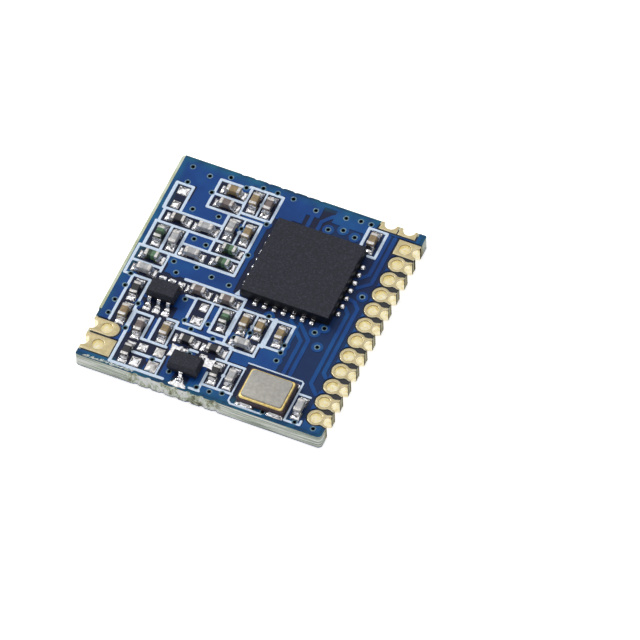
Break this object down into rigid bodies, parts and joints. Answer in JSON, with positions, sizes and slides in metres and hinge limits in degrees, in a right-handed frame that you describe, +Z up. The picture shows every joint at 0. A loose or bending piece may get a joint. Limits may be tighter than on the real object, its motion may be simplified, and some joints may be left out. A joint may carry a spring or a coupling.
{
  "type": "radio module",
  "caption": "Small square blue circuit board with a row of gold edge pads, a black square chip, a metal-lidded crystal and tiny soldered chip parts on top.",
  "frame": {"origin": "middle of the board's underside", "axes": "+X towards the pin row, +Y towards the back edge with the two rear pads, +Z up out of the component side"},
  "size_m": [0.0168, 0.0168, 0.0022],
  "materials": {
    "laminate": "satin, glass fibre layers at the edges",
    "copper": "satin",
    "solder_mask": "gloss",
    "printed_ink": "matte",
    "gold_plate": "satin",
    "solder": "bright, uneven",
    "moulding": "fine matte",
    "lid_steel": "satin",
    "package_ceramic": "matte",
    "tan_ceramic": "matte",
    "brown_ceramic": "matte",
    "pale_ceramic": "matte",
    "green_ceramic": "matte",
    "resistor_black": "gloss"
  },
  "bodies": {
    "root": {"pin_pads": "gold_plate", "radio_pads": "gold_plate", "rear_pads": "gold_plate", "substrate": "laminate", "copper_top": "copper", "copper_bottom": "copper", "solder_mask_top": "solder_mask", "solder_mask_bottom": "solder_mask", "silkscreen_top": "printed_ink", "vias": "gold_plate", "component_lands": "copper", "spare_lands": "copper", "spare_land_tin": "solder", "solder_joints": "solder", "chip_ends": "solder", "transceiver_body": "moulding", "transceiver_contacts": "solder", "transceiver_heat_pad": "solder", "crystal_base": "package_ceramic", "crystal_rim": "gold_plate", "crystal_lid": "lid_steel", "switch_body": "moulding", "switch_leads": "solder", "transistor_body": "moulding", "transistor_leads": "solder", "capacitor_01": "tan_ceramic", "capacitor_03": "tan_ceramic", "capacitor_07": "tan_ceramic", "capacitor_11": "tan_ceramic", "capacitor_13": "tan_ceramic", "capacitor_16": "tan_ceramic", "capacitor_17": "tan_ceramic", "capacitor_18": "tan_ceramic", "capacitor_22": "tan_ceramic", "capacitor_02": "brown_ceramic", "capacitor_04": "brown_ceramic", "capacitor_12": "brown_ceramic", "capacitor_14": "brown_ceramic", "capacitor_15": "brown_ceramic", "capacitor_05": "pale_ceramic", "capacitor_06": "pale_ceramic", "capacitor_08": "pale_ceramic", "capacitor_09": "pale_ceramic", "capacitor_10": "pale_ceramic", "capacitor_19": "pale_ceramic", "capacitor_20": "pale_ceramic", "capacitor_21": "pale_ceramic", "inductor_1": "green_ceramic", "inductor_2": "green_ceramic", "inductor_3": "green_ceramic", "inductor_4": "green_ceramic", "inductor_5": "green_ceramic", "resistor_1": "resistor_black", "resistor_2": "resistor_black", "resistor_3": "resistor_black", "resistor_4": "resistor_black", "resistor_5": "resistor_black", "resistor_6": "resistor_black"}
  },
  "joints": []
}
